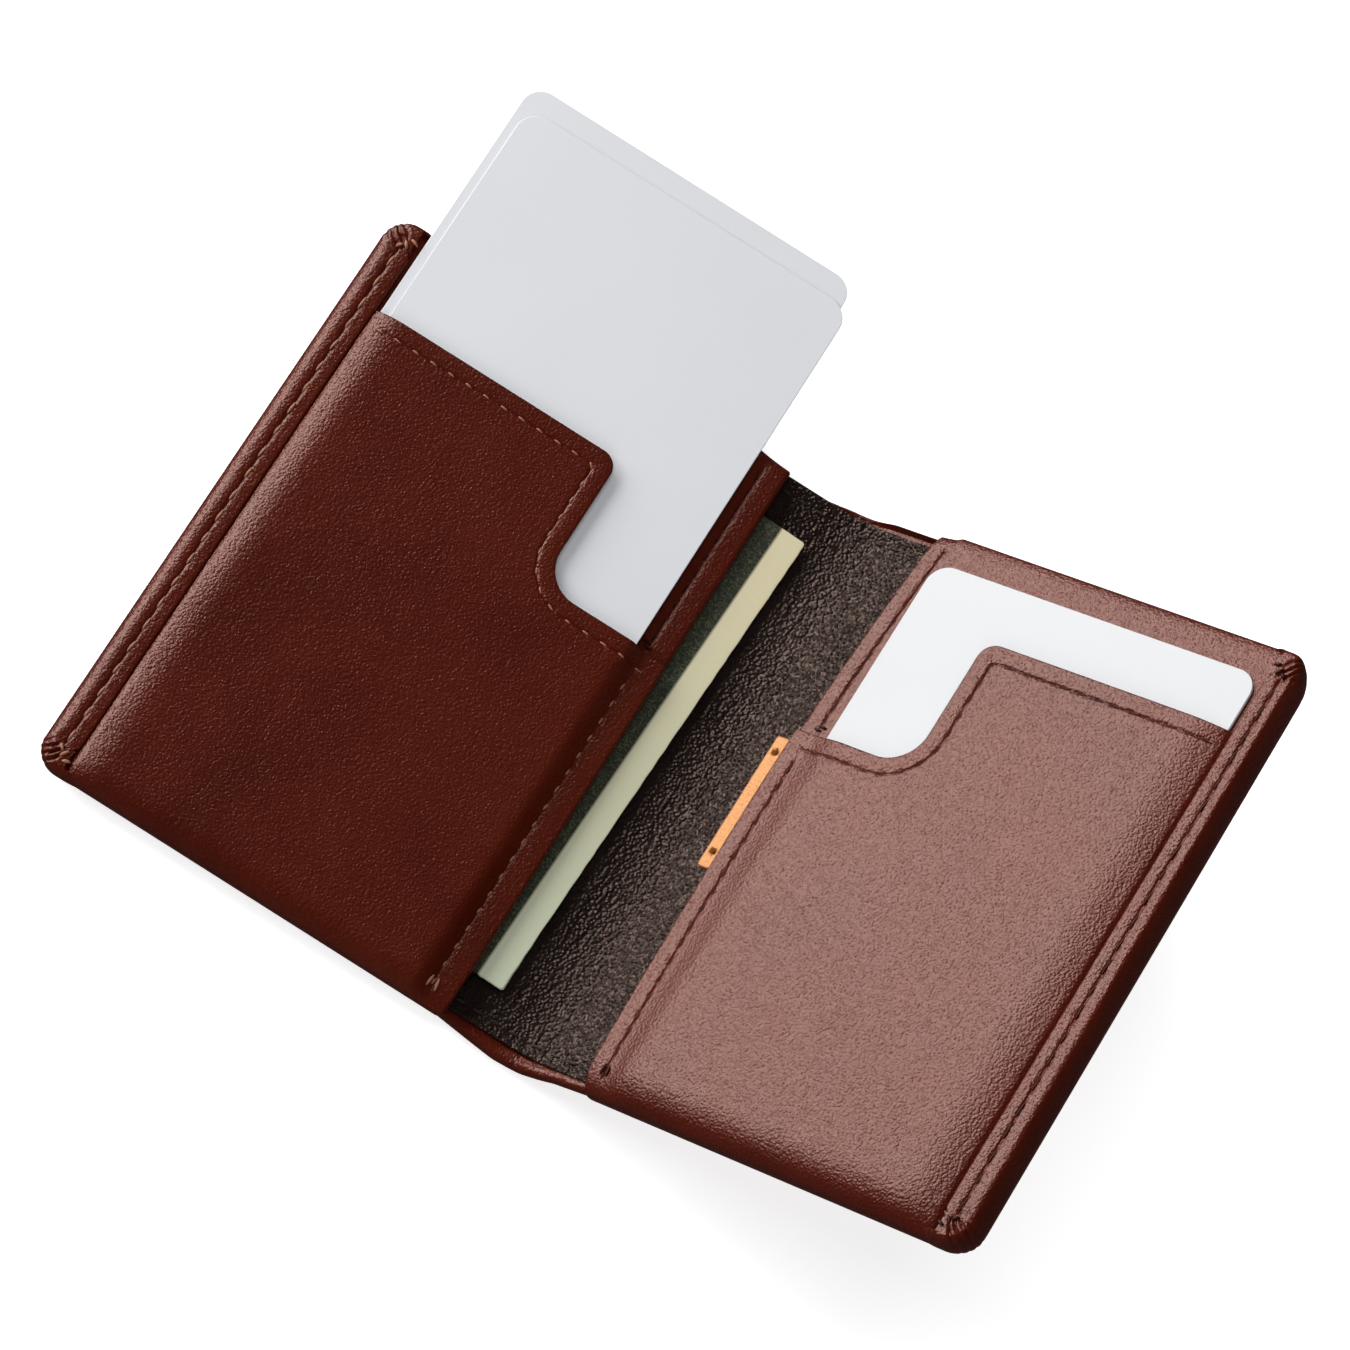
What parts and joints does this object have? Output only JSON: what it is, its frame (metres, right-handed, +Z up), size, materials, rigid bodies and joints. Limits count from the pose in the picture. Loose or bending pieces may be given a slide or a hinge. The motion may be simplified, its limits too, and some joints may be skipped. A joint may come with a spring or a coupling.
{
  "type": "bifold wallet",
  "caption": "Open leather bifold wallet with notched card pockets, a note compartment, blank cards, folded notes and a pull tab.",
  "frame": {"origin": "middle of the flat underside of the left wing, on the surface the wallet lies on", "axes": "+Z up from the surface, +Y along the spine towards the pocket mouths, +X from the left wing to the right wing"},
  "size_m": [0.1434, 0.1227, 0.0491],
  "materials": {
    "brown_leather": "smooth vegetable-tanned leather with a fine pebble grain and a soft waxed sheen",
    "lining_leather": "thin dark pebbled lining leather, low sheen",
    "tan_leather": "natural tan leather, raw cut edges",
    "thread": "waxed brown polyester thread",
    "grey_card": "satin printed plastic card, blank",
    "white_card": "satin white plastic card, blank",
    "note_paper": null,
    "ribbon": "flat woven ribbon"
  },
  "bodies": {
    "left_wing": {"cover_left": "brown_leather", "lining_left": "lining_leather", "carrier_left": "brown_leather", "pocket_left": "brown_leather", "border_thread_left": "thread", "pocket_thread_left": "thread", "hem_thread_left": "thread", "lining_thread_left": "thread"},
    "spine": {"cover_spine": "brown_leather", "lining_spine": "lining_leather", "lining_thread_spine": "thread"},
    "right_wing": {"cover_right": "brown_leather", "lining_right": "lining_leather", "carrier_right": "brown_leather", "pocket_right": "brown_leather", "border_thread_right": "thread", "pocket_thread_right": "thread", "hem_thread_right": "thread", "lining_thread_right": "thread", "ribbon_anchor": "ribbon"},
    "rear_card": {"card_left_rear": "grey_card"},
    "front_card": {"card_left_front": "grey_card"},
    "right_card": {"card_right": "white_card"},
    "notes": {"note_upper": "note_paper", "note_lower": "note_paper"},
    "tab": {"pull_tab": "tan_leather", "ribbon_run": "ribbon"},
    "stored_stack": {"stored_card_1": "grey_card", "stored_card_2": "grey_card", "stored_card_3": "grey_card", "ribbon_loop": "ribbon"}
  },
  "joints": [
    {"name": "left_fold", "type": "hinge", "parent": "left_wing", "child": "spine", "pos_m": [0.03605, 0, 0.0016], "axis": [0, 1, 0], "range_deg": [-76.2, 13.8]},
    {"name": "right_fold", "type": "hinge", "parent": "spine", "child": "right_wing", "pos_m": [0.04697, 0, 0.00428], "axis": [0, 1, 0], "range_deg": [-69.5, 20.5]},
    {"name": "rear_card_slide", "type": "slide", "parent": "left_wing", "child": "rear_card", "axis": [0, 1, 0], "range_m": [-0.0324, 0.06]},
    {"name": "front_card_slide", "type": "slide", "parent": "left_wing", "child": "front_card", "axis": [0, 1, 0], "range_m": [-0.0286, 0.064]},
    {"name": "right_card_slide", "type": "slide", "parent": "right_wing", "child": "right_card", "axis": [0, 1, 0], "range_m": [0, 0.092]},
    {"name": "note_slide", "type": "slide", "parent": "left_wing", "child": "notes", "axis": [1, 0, 0], "range_m": [-0.0022, 0.0028]},
    {"name": "tab_slide", "type": "slide", "parent": "right_wing", "child": "tab", "axis": [-0.8261, 0, -0.5635], "range_m": [0, 0.0095]},
    {"name": "stack_slide", "type": "slide", "parent": "right_wing", "child": "stored_stack", "axis": [-0.8261, 0, -0.5635], "range_m": [0, 0.00475]}
  ],
  "couplings": [
    {"joint": "stack_slide", "follows": "tab_slide", "ratio": 0.5}
  ]
}
